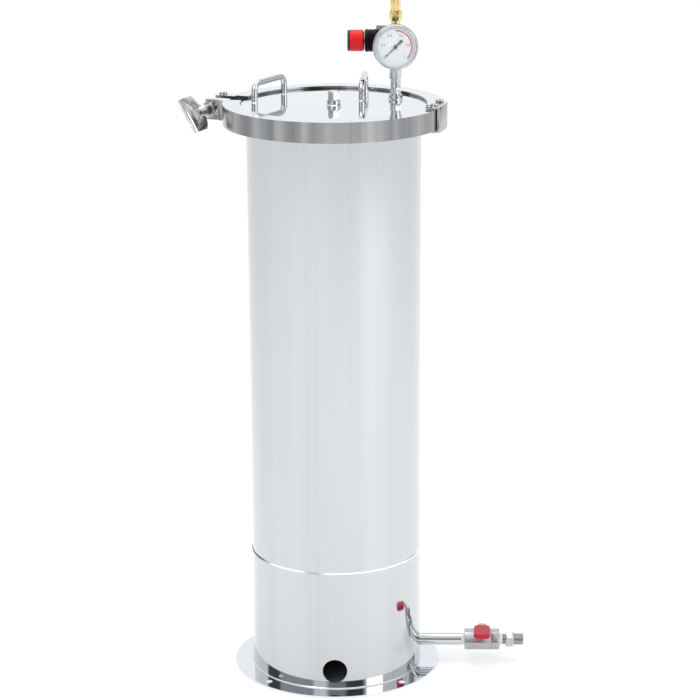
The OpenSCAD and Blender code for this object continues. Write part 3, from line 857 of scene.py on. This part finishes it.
# sectors of the surround as (start, end, brightness), in degrees to the right of the front
FLAGS = [(-180, -112, 1.0), (-108, -86, 0.08), (-82, -33, 0.42), (-29, -15, 1.0), (-9, 12, 0.3),
         (16, 37, 0.06), (42, 118, 0.85), (124, 136, 0.3), (140, 180, 1.0)]


def world():
    """White surround with a few dark flags in front, which give the mirror parts their contrast."""
    made = bpy.data.worlds.new("studio")
    bpy.context.scene.world = made
    made.use_nodes = True
    tree = made.node_tree
    back = tree.nodes["Background"]

    def math_node(operation, first, second=None):
        node = tree.nodes.new("ShaderNodeMath")
        node.operation = operation
        for socket, value in zip(node.inputs, (first, second)):
            if isinstance(value, (int, float)):
                socket.default_value = value
            elif value is not None:
                tree.links.new(value, socket)
        return node.outputs[0]

    def ramp(factor, stops):
        node = tree.nodes.new("ShaderNodeValToRGB")
        elements = node.color_ramp.elements
        for index, (position, value) in enumerate(stops):
            made_stop = elements[index] if index < 2 else elements.new(position)
            made_stop.position = position
            made_stop.color = (value * 0.985, value * 0.99, value, 1)
        tree.links.new(factor, node.inputs["Fac"])
        return node.outputs["Color"]

    coords = tree.nodes.new("ShaderNodeTexCoord")
    split = tree.nodes.new("ShaderNodeSeparateXYZ")
    tree.links.new(coords.outputs["Generated"], split.inputs[0])
    azimuth = math_node("ARCTAN2", split.outputs["X"], math_node("MULTIPLY", split.outputs["Y"], -1))
    turn = math_node("ADD", math_node("DIVIDE", azimuth, 2 * math.pi), 0.5)
    stops = []
    for start, end, value in FLAGS:
        stops += [((start + 180) / 360, value), ((end + 180) / 360, value)]
    around = ramp(turn, stops)
    height = ramp(split.outputs["Z"], [(0.0, 0.0), (0.5, 0.0), (0.62, 1.0), (1.0, 1.0)])
    blend = tree.nodes.new("ShaderNodeMix")
    blend.data_type = "RGBA"
    blend.inputs[7].default_value = (0.985, 0.99, 1.0, 1)
    tree.links.new(height, blend.inputs[0])
    tree.links.new(around, blend.inputs[6])
    tree.links.new(blend.outputs[2], back.inputs["Color"])
    back.inputs["Strength"].default_value = 1.0


def camera():
    """A viewpoint 3.0 m in front and 1.28 m up, looking 15.9 degrees down, swung 2 degrees about Z."""
    pan, tilt, roll = math.radians(0.863), math.radians(15.908), math.radians(-0.268)
    swing = math.radians(2)
    data = bpy.data.cameras.new("camera")
    data.sensor_width = 36
    data.lens = 128.2
    data.clip_end = 100
    obj = bpy.data.objects.new("camera", data)
    forward = Vector((math.sin(pan) * math.cos(tilt), math.cos(pan) * math.cos(tilt), -math.sin(tilt)))
    right = Vector((math.cos(pan), -math.sin(pan), 0))
    up = right.cross(forward)
    across = right * math.cos(roll) + up * math.sin(roll)
    rise = up * math.cos(roll) - right * math.sin(roll)
    basis = Matrix((across, rise, -forward)).transposed().to_4x4()
    place = Matrix.Translation((-0.0268, -3.024, 1.280)) @ basis
    obj.matrix_world = Matrix.Rotation(swing, 4, "Z") @ place
    bpy.context.scene.collection.objects.link(obj)
    bpy.context.scene.camera = obj


floor()
world()
softbox("key", (-1.6, -2.2, 2.6), (0, 0, 0.4), (1.4, 1.8), 26)
softbox("fill", (2.2, -1.6, 1.6), (0, 0, 0.4), (1.2, 1.6), 12)
softbox("top", (0, 0.4, 2.8), (0, 0, 0.4), (1.6, 1.6), 14)
camera()
bpy.context.scene.view_settings.view_transform = "Standard"
